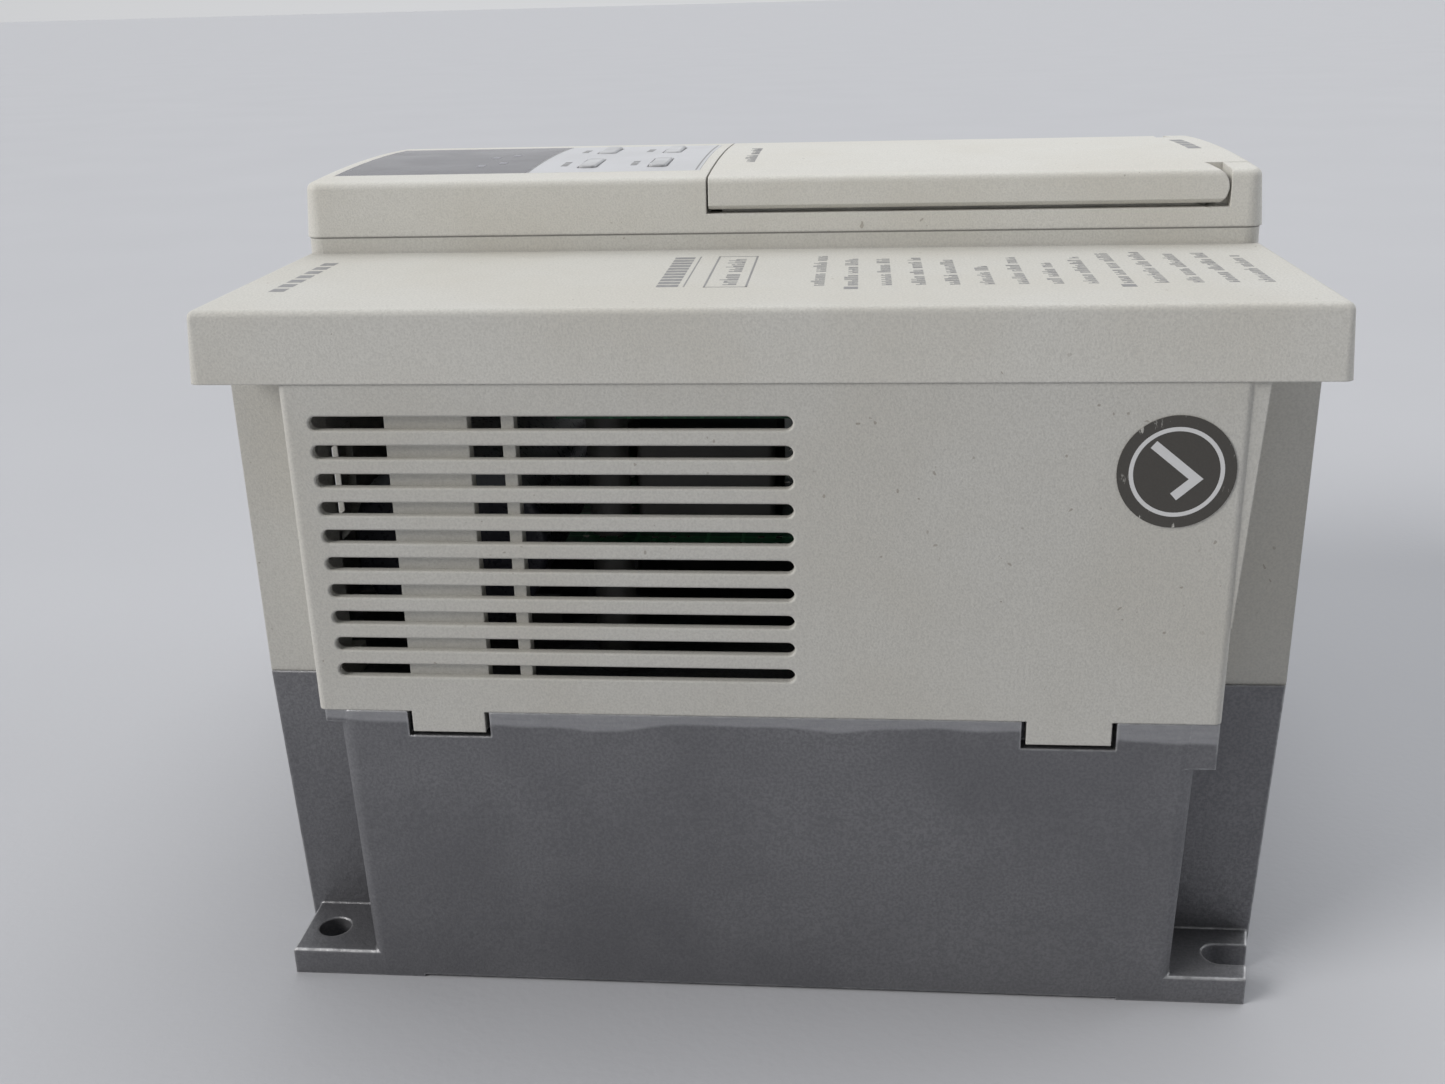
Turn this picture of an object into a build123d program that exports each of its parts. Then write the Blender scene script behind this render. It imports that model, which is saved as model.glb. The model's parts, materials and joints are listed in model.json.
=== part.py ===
from build123d import *
import math
import os

# Small wall-mounted variable frequency drive.
# Frame: the origin is the centre of the mounting face and +Z points out of the wall.
# X runs along the drive's height: its display end is -X and its terminal end is +X.
# Y runs across its width. All sizes are in millimetres.

os.makedirs("parts", exist_ok=True)

# ---------------------------------------------------------------- driving dimensions
size = 150.0                    # height along X and width along Y, at the cover's rim
half = size / 2

# levels above the wall
sink_top = 46.0
case_top = 93.7
lid_top = 103.4
console_base = 105.9
console_crest = 115.0

# the case's plan: a square whose four corners are cut away above the feet
wall = 2.5
case_half = 74.8
notch_y = 62.0
panel_left = -63.0
panel_right = 63.2

# heatsink casting
sink_half_x = 73.6              # at the wall; the casting widens upwards by its draft
sink_half_y = 73.8
sink_notch_x = 59.5
sink_notch_y = 61.2
sink_draft = 1.35               # degrees
plate_bottom = 38.0
channel_count = 14
channel_pitch = 8.28
channel_width = 6.2
fin_foot = 1.5
pocket_end = 55.0
pocket_y = 62.4

# feet: the terminal end's two splay outwards towards the edge
foot_height = 4.3
foot_end = 72.4
slot_foot_outer = 70.4
slot_foot_inner = 73.8
foot_inner_x = 58.0
foot_inner_y = 60.0
foot_round = 0.5
bolt_x = 67.8
bolt_y = 67.8
bolt_radius = 2.5

# louvres in the two side panels
louvre_count = 10
louvre_pitch = 4.0
louvre_first_z = 52.3
louvre_left = -59.4
louvre_right = 5.5
louvre_height = 2.3
louvre_bevel = 0.18
louvre_skin = 1.3

# vents and latch windows in the display end, whose corner walls are thinned inside
end_vent_length = 40.0
end_vent_y = 24.0
latch_inner_y = 26.2
latch_outer_y = 29.9
latch_bottom = 59.3
latch_top = 71.3
latch_margin = 3.0              # of thin wall around each latch window
thin_wall = 1.0
thin_bottom = 50.0
thin_top = 91.0

# snap tabs that hold the case to the heatsink: left end, right end, length
tabs = [(-49.3, -38.8, 3.2), (37.0, 48.5, 3.5)]
tab_gap = 0.7

# console on the cover
console_half_x = 74.4
console_half_y = 28.5
console_corner = 2.8
console_draft = 5.0             # degrees
frame_margin = 0.3              # the frame below it is this much shorter and wider
frame_root = 1.5                # depth that the frame is rooted into the cover
arch_radius = 500.0
ceiling = 112.4

# window, keypad label and keys
window_left = -71.0
window_right = -39.5
label_right = -11.6
window_half_y = 20.5
window_thickness = 1.2
label_thickness = 0.25
key_xs = (-30.5, -19.0)
key_ys = (-10.5, 9.5)
key_size = (2.8, 11.0)
key_stand = 0.3                 # height of a key above the arch
key_travel = 0.6

# flap and its hinge, whose axis runs along Y
flap_left = -9.6
flap_lip = 109.4
flap_skin = 1.2
flap_side = 1.8
lip_reach = 0.3                 # the ears' rounding ends this far below the lip
gap = 0.3
ledge_z = 108.8                 # top of the console's side walls under the flap's lip
pivot_x = 65.85
pivot_z = 111.75
pin_radius = 0.9
pin_bore = 0.95
knuckle_radius = 1.3
ear_radius = 2.85
pillar_x = 69.0
pillar_y = 21.0
sweep_radius = 8.8              # clear space that the flap's end turns in

# boards and what they carry
board_thickness = 1.6
power_board_z = 66.0
control_board_z = 86.0
board_left = -28.0
board_right = 50.0
board_half_y = 64.0
post_xs = (-22.0, 44.0)
post_y = 58.0
display_board_z = 106.6

# cable entries in the terminal end
cable_ys = (-34.0, 0.0, 34.0)
cable_z = 78.0
cable_hole = 10.0
cable_bore = 7.5


# ---------------------------------------------------------------- helpers
def notched_square(half_x, half_y, left, right, cut_y):
    """Outline of a rectangle whose four corners are cut away, as a closed line."""
    Polyline(
        (left, -half_y), (right, -half_y), (right, -cut_y), (half_x, -cut_y),
        (half_x, cut_y), (right, cut_y), (right, half_y), (left, half_y),
        (left, cut_y), (-half_x, cut_y), (-half_x, -cut_y), (left, -cut_y),
        close=True,
    )


def block(x0, x1, y0, y1, z0, z1, mode=Mode.ADD):
    """Box between two corners, added to or cut from the part in hand."""
    with Locations(((x0 + x1) / 2, (y0 + y1) / 2, (z0 + z1) / 2)):
        Box(x1 - x0, y1 - y0, z1 - z0, mode=mode)


def mirrored_block(x0, x1, y0, y1, z0, z1, mode=Mode.ADD):
    """The same box on both sides of the drive's middle plane."""
    block(x0, x1, y0, y1, z0, z1, mode)
    block(x0, x1, -y1, -y0, z0, z1, mode)


def hinge_cylinder(radius, y0, y1, mode):
    """Round bar on the flap's hinge axis between two places across the width."""
    with Locations(Location((pivot_x, (y0 + y1) / 2, pivot_z), (90, 0, 0))):
        Cylinder(radius, y1 - y0, mode=mode)


def arch_height(y, drop=0.0):
    """Height of the console's arched top, or of a surface a given depth below it."""
    radius = arch_radius - drop
    return console_crest - arch_radius + math.sqrt(radius ** 2 - y ** 2)


def arched_strip(x0, x1, half_y, drop, lowest, mode):
    """Strip along X under the arched top: its upper face lies a given depth below the arch."""
    with BuildSketch(Plane.YZ.offset(x0)) as profile:
        with BuildLine():
            edge_z = arch_height(half_y, drop)
            ThreePointArc((-half_y, edge_z), (0, console_crest - drop), (half_y, edge_z))
            Polyline((half_y, edge_z), (half_y, lowest), (-half_y, lowest), (-half_y, edge_z))
        make_face()
    extrude(profile.sketch, amount=x1 - x0, mode=mode)


def side_plane(side):
    """Plane on a side panel, facing inwards, with its own y axis upwards."""
    return Plane(origin=(0, side * case_half, 0), x_dir=(side, 0, 0), z_dir=(0, -side, 0))


# ---------------------------------------------------------------- heatsink
with BuildPart() as heatsink:
    with BuildSketch() as sink_outline:
        with BuildLine():
            notched_square(sink_half_x, sink_half_y, -sink_notch_x, sink_notch_x, sink_notch_y)
        make_face()
        fillet(sink_outline.vertices().filter_by(lambda v: abs(v.Y) > sink_half_y - 0.1), 1.5)
    extrude(amount=sink_top, taper=-sink_draft)
    # the rim overhangs the corner recesses, by more at the terminal end
    mirrored_block(-62.1, -58.0, 60.0, 74.6, 44.0, sink_top)
    mirrored_block(58.0, 62.9, 60.0, 74.6, 39.0, sink_top)
    # cooling channels, open at both ends and towards the wall
    channel_ys = [(i - (channel_count - 1) / 2) * channel_pitch for i in range(channel_count)]
    with Locations(*[(0, y, plate_bottom / 2) for y in channel_ys]):
        Box(2 * half, channel_width, plate_bottom, mode=Mode.SUBTRACT)
    fin_zone = channel_ys[-1] + channel_width / 2
    block(-half, half, -fin_zone, fin_zone, 0, fin_foot, Mode.SUBTRACT)
    # one blind pocket as wide as a channel in each solid flank
    mirrored_block(-pocket_end, pocket_end, pocket_y, pocket_y + channel_width, 0, plate_bottom,
                   Mode.SUBTRACT)
    # the middle of the back stands off the wall, so that the casting rests near its feet
    block(-52.0, 52.0, -half, half, 0, 0.45, Mode.SUBTRACT)
    # feet: round holes at the display end, open slots at the terminal end
    for side in (-1, 1):
        with BuildSketch():
            with BuildLine():
                Polyline(
                    (-foot_end, side * sink_half_y), (-foot_inner_x, side * sink_half_y),
                    (-foot_inner_x, side * foot_inner_y), (-foot_end, side * foot_inner_y), close=True,
                )
            make_face()
            with BuildLine():
                Polyline(
                    (slot_foot_outer, side * sink_half_y), (foot_inner_x, side * sink_half_y),
                    (foot_inner_x, side * foot_inner_y), (slot_foot_inner, side * foot_inner_y), close=True,
                )
            make_face()
        extrude(amount=foot_height)
    foot_edges = heatsink.edges().filter_by(
        lambda e: abs(e.center().Z - foot_height) < 0.01 and abs(e.center().Y) > notch_y
    )
    outer_foot_edges = foot_edges.filter_by(
        lambda e: abs(e.center().Y) > sink_half_y - 0.1 or abs(e.center().X) > slot_foot_outer
    )
    fillet(outer_foot_edges, foot_round)
    with Locations((-bolt_x, -bolt_y, 0), (-bolt_x, bolt_y, 0)):
        Cylinder(bolt_radius, 3 * foot_height, mode=Mode.SUBTRACT)
    for side in (-1, 1):
        with Locations((bolt_x, side * bolt_y, 0)):
            Cylinder(bolt_radius, 3 * foot_height, mode=Mode.SUBTRACT)
        block(bolt_x, 80.0, side * bolt_y - bolt_radius, side * bolt_y + bolt_radius,
              -1.0, foot_height + 1, Mode.SUBTRACT)
    # pockets in the rim for the case's snap tabs
    for left, right, length in tabs:
        mirrored_block(left - tab_gap, right + tab_gap, case_half - wall - gap, 80.0,
                       sink_top - length - tab_gap, sink_top + 1, Mode.SUBTRACT)
    # threaded holes for the module, rectifier and earth screws
    with Locations((-19.0, 0, sink_top), (39.0, 0, sink_top), (4.0, 47.0, sink_top), (66.0, 55.4, sink_top)):
        Cylinder(1.7, 12.0, mode=Mode.SUBTRACT)
heatsink.part.label = "heatsink"
export_step(heatsink.part, "parts/heatsink.step")

# ---------------------------------------------------------------- power stage on the heatsink
with BuildPart() as thermal_pad:
    block(-24.0, 44.0, -24.0, 24.0, sink_top, sink_top + 0.5)
    with Locations((-19.0, 0, sink_top), (39.0, 0, sink_top)):
        Cylinder(2.2, 4.0, mode=Mode.SUBTRACT)
thermal_pad.part.label = "thermal_pad"
export_step(thermal_pad.part, "parts/thermal_pad.step")

with BuildPart() as power_module:
    block(-24.0, 44.0, -24.0, 24.0, sink_top + 0.5, 54.0)
    block(-14.0, 34.0, -24.0, 24.0, 54.0, 62.0)
    fillet(power_module.edges().filter_by(Axis.Z), 1.0)
    with Locations((-19.0, 0, sink_top), (39.0, 0, sink_top)):
        Cylinder(2.2, 20.0, mode=Mode.SUBTRACT)
    with Locations((10.0, 0, 64.0)):
        with GridLocations(4.5, 42.0, 10, 2):
            Box(0.8, 0.8, 4.0)
power_module.part.label = "power_module"
export_step(power_module.part, "parts/power_module.step")

with BuildPart() as rectifier_module:
    block(-12.0, 20.0, 34.0, 60.0, sink_top, 56.0)
    fillet(rectifier_module.edges().filter_by(Axis.Z), 1.5)
    with Locations((4.0, 47.0, sink_top)):
        Cylinder(2.2, 24.0, mode=Mode.SUBTRACT)
    with Locations((4.0, 47.0, 61.0)):
        with GridLocations(22.0, 18.0, 2, 2):
            Box(0.8, 5.0, 10.0)
rectifier_module.part.label = "rectifier_module"
export_step(rectifier_module.part, "parts/rectifier_module.step")

with BuildPart() as module_screws:
    for x, y, seat in [(-19.0, 0, 54.0), (39.0, 0, 54.0), (4.0, 47.0, 56.0)]:
        with Locations((x, y, seat)):
            Cylinder(3.5, 2.6, align=(Align.CENTER, Align.CENTER, Align.MIN))
            Cylinder(1.65, seat - 41.0, align=(Align.CENTER, Align.CENTER, Align.MAX))
        block(x - 2.4, x + 2.4, y - 0.4, y + 0.4, seat + 1.8, seat + 3.0, Mode.SUBTRACT)
module_screws.part.label = "module_screws"
export_step(module_screws.part, "parts/module_screws.step")

with BuildPart() as earth_screw:
    with Locations((66.0, 55.4, sink_top)):
        Cylinder(3.3, 2.8, align=(Align.CENTER, Align.CENTER, Align.MIN))
        Cylinder(1.65, 5.5, align=(Align.CENTER, Align.CENTER, Align.MAX))
    block(63.6, 68.4, 55.0, 55.8, sink_top + 2.0, sink_top + 4.0, Mode.SUBTRACT)
earth_screw.part.label = "earth_screw"
export_step(earth_screw.part, "parts/earth_screw.step")

# smoothing capacitors lie across the display end in a moulded cradle
cap_x = -48.0
cap_z = 63.0
cap_radius = 15.0
with BuildPart() as capacitor_cradle:
    block(cap_x - 16.0, cap_x + 16.0, -50.0, 50.0, sink_top, 54.0)
    with Locations(Location((cap_x, 0, cap_z), (90, 0, 0))):
        Cylinder(cap_radius + 0.1, 120.0, mode=Mode.SUBTRACT)
capacitor_cradle.part.label = "capacitor_cradle"
export_step(capacitor_cradle.part, "parts/capacitor_cradle.step")

with BuildPart() as bus_capacitors:
    for side in (-1, 1):
        with Locations(Location((cap_x, side * 28.0, cap_z), (90, 0, 0))):
            Cylinder(cap_radius, 50.0)
    fillet(bus_capacitors.edges().filter_by(GeomType.CIRCLE), 1.2)
bus_capacitors.part.label = "bus_capacitors"
export_step(bus_capacitors.part, "parts/bus_capacitors.step")

# barrier strip for the mains and motor leads
terminal_count = 10
terminal_pitch = 10.0
terminal_ys = [(i - (terminal_count - 1) / 2) * terminal_pitch for i in range(terminal_count)]
with BuildPart() as main_terminal_block:
    block(54.0, 70.0, -51.0, 51.0, sink_top, 59.0)
    block(54.0, 56.0, -51.0, 51.0, 59.0, 67.0)
    for i in range(terminal_count + 1):
        y = (i - terminal_count / 2) * terminal_pitch
        block(54.0, 70.0, y - 0.8, y + 0.8, 59.0, 67.0)
main_terminal_block.part.label = "main_terminal_block"
export_step(main_terminal_block.part, "parts/main_terminal_block.step")

with BuildPart() as main_terminal_screws:
    for y in terminal_ys:
        block(56.2, 69.6, y - 3.8, y + 3.8, 59.0, 60.0)
        with Locations((63.0, y, 60.0)):
            Cylinder(3.4, 2.8, align=(Align.CENTER, Align.CENTER, Align.MIN))
        block(60.5, 65.5, y - 0.4, y + 0.4, 61.8, 63.0, Mode.SUBTRACT)
main_terminal_screws.part.label = "main_terminal_screws"
export_step(main_terminal_screws.part, "parts/main_terminal_screws.step")

# ---------------------------------------------------------------- boards
post_places = [(x, side * post_y) for x in post_xs for side in (-1, 1)]

with BuildPart() as power_standoffs:
    for x, y in post_places:
        with Locations((x, y, (sink_top + power_board_z) / 2)):
            Cylinder(3.0, power_board_z - sink_top)
power_standoffs.part.label = "power_standoffs"
export_step(power_standoffs.part, "parts/power_standoffs.step")

power_board_top = power_board_z + board_thickness
with BuildPart() as power_board:
    block(board_left, board_right, -board_half_y, board_half_y, power_board_z, power_board_top)
    for x, y in post_places:
        with Locations((x, y, power_board_z)):
            Cylinder(1.7, 6.0, mode=Mode.SUBTRACT)
power_board.part.label = "power_board"
export_step(power_board.part, "parts/power_board.step")

with BuildPart() as control_standoffs:
    for x, y in post_places:
        with Locations((x, y, (power_board_top + control_board_z) / 2)):
            Cylinder(3.0, control_board_z - power_board_top)
control_standoffs.part.label = "control_standoffs"
export_step(control_standoffs.part, "parts/control_standoffs.step")

with BuildPart() as switching_transformer:
    block(22.0, 40.0, 30.0, 52.0, power_board_top, 70.0)
    block(23.5, 38.5, 34.0, 48.0, 70.0, 80.0)
    block(22.0, 40.0, 30.0, 52.0, 80.0, 83.0)
switching_transformer.part.label = "switching_transformer"
export_step(switching_transformer.part, "parts/switching_transformer.step")

with BuildPart() as current_sensors:
    for y in (-40.0, -16.0):
        block(36.0, 48.0, y - 9.0, y + 9.0, power_board_top, 81.0)
        with Locations(Location((42.0, y, 75.0), (0, 90, 0))):
            Cylinder(3.5, 20.0, mode=Mode.SUBTRACT)
current_sensors.part.label = "current_sensors"
export_step(current_sensors.part, "parts/current_sensors.step")

with BuildPart() as inrush_relay:
    block(-18.0, 2.0, -58.0, -30.0, power_board_top, 82.0)
    fillet(inrush_relay.edges().filter_by(Axis.Z), 1.0)
inrush_relay.part.label = "inrush_relay"
export_step(inrush_relay.part, "parts/inrush_relay.step")

with BuildPart() as ribbon_headers:
    block(-27.0, -22.0, -16.0, 16.0, power_board_top, 72.0)
    block(-27.0, -22.0, -16.0, 16.0, 81.6, control_board_z)
ribbon_headers.part.label = "ribbon_headers"
export_step(ribbon_headers.part, "parts/ribbon_headers.step")

with BuildPart() as ribbon_cable:
    block(-25.0, -24.0, -14.0, 14.0, 72.0, 81.6)
ribbon_cable.part.label = "ribbon_cable"
export_step(ribbon_cable.part, "parts/ribbon_cable.step")

control_board_top = control_board_z + board_thickness
with BuildPart() as control_board:
    block(board_left, board_right, -board_half_y, board_half_y, control_board_z, control_board_top)
    for x, y in post_places:
        with Locations((x, y, control_board_z)):
            Cylinder(1.7, 6.0, mode=Mode.SUBTRACT)
control_board.part.label = "control_board"
export_step(control_board.part, "parts/control_board.step")

with BuildPart() as board_screws:
    for x, y in post_places:
        with Locations((x, y, control_board_top)):
            Cylinder(2.8, 2.0, align=(Align.CENTER, Align.CENTER, Align.MIN))
        block(x - 2.0, x + 2.0, y - 0.35, y + 0.35, control_board_top + 1.2, 91.0, Mode.SUBTRACT)
board_screws.part.label = "board_screws"
export_step(board_screws.part, "parts/board_screws.step")

with BuildPart() as processor_chip:
    block(-4.0, 16.0, 26.0, 46.0, control_board_top, 90.0)
    chamfer(processor_chip.faces().sort_by(Axis.Z)[-1].edges(), 0.4)
processor_chip.part.label = "processor_chip"
export_step(processor_chip.part, "parts/processor_chip.step")

with BuildPart() as alarm_relay:
    block(26.0, 38.0, 34.0, 54.0, control_board_top, 97.6)
    fillet(alarm_relay.edges().filter_by(Axis.Z), 0.8)
alarm_relay.part.label = "alarm_relay"
export_step(alarm_relay.part, "parts/alarm_relay.step")

# control terminals, the hand-held unit's socket and the charge lamp sit below the flap
control_terminal_count = 8
control_terminal_pitch = 5.0
control_terminal_ys = [
    (i - (control_terminal_count - 1) / 2) * control_terminal_pitch for i in range(control_terminal_count)
]
with BuildPart() as control_terminal_block:
    block(29.0, 45.0, -20.5, 20.5, control_board_top, 98.0)
    block(40.0, 46.0, -20.5, 20.5, 95.0, 99.0, Mode.SUBTRACT)
    for y in control_terminal_ys:
        with Locations((34.0, y, 98.0)):
            Cylinder(1.9, 3.0, mode=Mode.SUBTRACT)
        block(41.0, 46.0, y - 1.6, y + 1.6, 90.0, 93.5, Mode.SUBTRACT)
control_terminal_block.part.label = "control_terminal_block"
export_step(control_terminal_block.part, "parts/control_terminal_block.step")

with BuildPart() as control_terminal_screws:
    for y in control_terminal_ys:
        with Locations((34.0, y, 96.5)):
            Cylinder(1.8, 1.2, align=(Align.CENTER, Align.CENTER, Align.MIN))
        block(32.6, 35.4, y - 0.25, y + 0.25, 97.1, 98.5, Mode.SUBTRACT)
control_terminal_screws.part.label = "control_terminal_screws"
export_step(control_terminal_screws.part, "parts/control_terminal_screws.step")

with BuildPart() as unit_connector:
    block(-2.0, 12.0, -10.0, 10.0, control_board_top, 97.0)
    block(-0.6, 10.6, -8.6, 8.6, 89.5, 98.0, Mode.SUBTRACT)
    block(4.3, 5.7, -7.0, 7.0, 89.5, 95.0)
unit_connector.part.label = "unit_connector"
export_step(unit_connector.part, "parts/unit_connector.step")

with BuildPart() as charge_lamp:
    with Locations((20.5, 15.0, control_board_top)):
        Cylinder(2.5, 5.0, align=(Align.CENTER, Align.CENTER, Align.MIN))
    fillet(charge_lamp.faces().sort_by(Axis.Z)[-1].edges(), 1.5)
charge_lamp.part.label = "charge_lamp"
export_step(charge_lamp.part, "parts/charge_lamp.step")

# ---------------------------------------------------------------- case
louvre_mid = (louvre_left + louvre_right) / 2
louvre_length = louvre_right - louvre_left
louvre_inner = case_half - louvre_skin
louvre_zs = [louvre_first_z + i * louvre_pitch for i in range(louvre_count)]

with BuildPart() as mid_case:
    with BuildSketch(Plane.XY.offset(sink_top)) as case_outline:
        with BuildLine():
            notched_square(case_half, case_half, panel_left, panel_right, notch_y)
        make_face()
        fillet(case_outline.vertices().filter_by(lambda v: abs(v.Y) > case_half - 0.1), 1.2)
        offset(amount=-wall, kind=Kind.INTERSECTION, mode=Mode.SUBTRACT)
    extrude(amount=case_top - sink_top)
    # flange inside the cover, which also closes the cover's corners above the feet
    with BuildSketch(Plane.XY.offset(case_top)):
        Rectangle(2 * (half - wall - gap), 2 * (half - wall - gap))
        with BuildLine():
            notched_square(case_half - wall, case_half - wall, panel_left + wall, panel_right - wall,
                           notch_y - wall)
        make_face(mode=Mode.SUBTRACT)
    extrude(amount=2.0)
    # draft web beside each side panel at the terminal end, widest at the top
    for side in (-1, 1):
        with BuildSketch(Plane.XZ.offset(-side * (case_half - 0.4))):
            with BuildLine():
                Polyline(
                    (panel_right - 0.5, 60.0), (panel_right, 60.0), (65.1, case_top),
                    (panel_right - 0.5, case_top), close=True,
                )
            make_face()
        extrude(amount=side * 11.0)
    # thin louvred field with the snap arm and a rib behind it
    mirrored_block(louvre_left - 1.2, louvre_right + 1.2, case_half - wall - 0.01, louvre_inner,
                   louvre_zs[0] - 2.4, louvre_zs[-1] + 2.4, Mode.SUBTRACT)
    mirrored_block(-49.3, -38.0, case_half - wall - 1.0, louvre_inner, sink_top + 0.3, 92.0)
    mirrored_block(-33.4, -31.7, case_half - wall - 1.0, louvre_inner, sink_top + 0.3, 92.0)
    for side in (-1, 1):
        with BuildSketch(side_plane(side)):
            with Locations(*[(side * louvre_mid, z) for z in louvre_zs]):
                SlotOverall(louvre_length, louvre_height)
        extrude(amount=louvre_bevel, taper=45, mode=Mode.SUBTRACT)
        with BuildSketch(side_plane(side)):
            with Locations(*[(side * louvre_mid, z) for z in louvre_zs]):
                SlotOverall(louvre_length - 2 * louvre_bevel, louvre_height - 2 * louvre_bevel)
        extrude(amount=louvre_skin, mode=Mode.SUBTRACT)
    # vents and two latch windows in the display end
    with BuildSketch(Plane(origin=(-case_half, 0, 0), x_dir=(0, 1, 0), z_dir=(1, 0, 0))):
        with Locations(*[(y, z) for y in (-end_vent_y, end_vent_y) for z in louvre_zs[-2:]]):
            SlotOverall(end_vent_length, louvre_height)
    extrude(amount=wall, taper=4, mode=Mode.SUBTRACT)
    mirrored_block(-case_half - 1, -case_half + wall + 0.1, latch_inner_y, latch_outer_y,
                   latch_bottom, latch_top, Mode.SUBTRACT)
    mirrored_block(-case_half + thin_wall, -case_half + wall + 0.1, latch_inner_y - latch_margin,
                   latch_outer_y + latch_margin, latch_bottom - latch_margin, latch_top + latch_margin,
                   Mode.SUBTRACT)
    mirrored_block(panel_left + thin_wall, panel_left + wall + 0.1, notch_y - wall, case_half - wall,
                   thin_bottom, thin_top, Mode.SUBTRACT)
    mirrored_block(-case_half + wall, panel_left + wall + 0.1, notch_y - wall - 0.1, notch_y - thin_wall,
                   thin_bottom, thin_top, Mode.SUBTRACT)
    # opening for the wiring cover in the terminal end
    block(71.0, 76.0, -52.0, 52.0, 50.0, 90.0, Mode.SUBTRACT)
    for left, right, length in tabs:
        mirrored_block(left, right, case_half - wall, case_half, sink_top - length, sink_top + 0.5)
mid_case.part.label = "mid_case"
export_step(mid_case.part, "parts/mid_case.step")

with BuildPart() as wiring_cover:
    block(case_half - wall, case_half, -51.7, 51.7, 50.3, 89.7)
    fillet(wiring_cover.edges().filter_by(Axis.X), 1.5)
    for y in cable_ys:
        with Locations(Location((case_half, y, cable_z), (0, 90, 0))):
            Cylinder(cable_hole, 10.0, mode=Mode.SUBTRACT)
    for y in (-20.0, 20.0):
        block(case_half - 0.8, case_half + 1, y - 7.0, y + 7.0, 52.5, 54.0, Mode.SUBTRACT)
        block(case_half - 0.8, case_half + 1, y - 7.0, y + 7.0, 55.5, 57.0, Mode.SUBTRACT)
        block(case_half - 0.8, case_half + 1, y - 7.0, y + 7.0, 58.5, 60.0, Mode.SUBTRACT)
wiring_cover.part.label = "wiring_cover"
export_step(wiring_cover.part, "parts/wiring_cover.step")

with BuildPart() as cable_grommets:
    for y in cable_ys:
        with Locations(Location((case_half, y, cable_z), (0, 90, 0))):
            Cylinder(cable_hole, wall + 1.5, align=(Align.CENTER, Align.CENTER, Align.MAX))
        with Locations(Location((case_half - wall, y, cable_z), (0, 90, 0))):
            Cylinder(cable_hole + 1.6, 1.5, align=(Align.CENTER, Align.CENTER, Align.MAX))
        with Locations(Location((case_half - 4.0, y, cable_z), (0, 90, 0))):
            Cylinder(cable_bore, 20.0, mode=Mode.SUBTRACT)
cable_grommets.part.label = "cable_grommets"
export_step(cable_grommets.part, "parts/cable_grommets.step")

# ---------------------------------------------------------------- front cover
with BuildPart() as front_cover:
    with BuildSketch(Plane.XY.offset(case_top)):
        RectangleRounded(size, size, 1.5)
    extrude(amount=lid_top - case_top, taper=4.5)
    fillet(front_cover.faces().sort_by(Axis.Z)[-1].edges(), 1.0)
    with BuildSketch(Plane.XY.offset(case_top)):
        Rectangle(size - 2 * wall, size - 2 * wall)
    extrude(amount=lid_top - case_top - wall, taper=4.5, mode=Mode.SUBTRACT)
    # raised frame that the console stands on
    with BuildSketch(Plane.XY.offset(lid_top - frame_root)):
        RectangleRounded(2 * (console_half_x - frame_margin), 2 * (console_half_y + frame_margin),
                         console_corner)
    extrude(amount=console_base - lid_top + frame_root, taper=1.5)
    block(-71.0, 70.0, -26.0, 26.0, lid_top, console_base + 1, Mode.SUBTRACT)
    # wiring bay below the flap, and the slot for the display's lead
    block(-8.0, 70.0, -22.0, 22.0, lid_top - wall - 1, console_base, Mode.SUBTRACT)
    block(-24.0, -18.0, -8.0, 8.0, lid_top - wall - 1, console_base, Mode.SUBTRACT)
    hinge_cylinder(sweep_radius, -pillar_y - 0.2, pillar_y + 0.2, Mode.SUBTRACT)
front_cover.part.label = "front_cover"
export_step(front_cover.part, "parts/front_cover.step")

# ---------------------------------------------------------------- console
# outer form that the console's housing and its flap share
with BuildPart() as console_form:
    with BuildSketch(Plane.XY.offset(console_base)):
        RectangleRounded(2 * console_half_x, 2 * console_half_y, console_corner)
    extrude(amount=12.0, taper=console_draft)
    arched_strip(-half, half, 40.0, 0.0, 100.0, Mode.INTERSECT)
    fillet(console_form.faces().sort_by(Axis.Z)[-1].edges(), 1.2)

bay_left = flap_left - gap
flap_inner_y = console_half_y - flap_side - gap
liner_out = flap_inner_y - 0.4
liner_in = liner_out - 1.7
liner_top = 112.3

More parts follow.
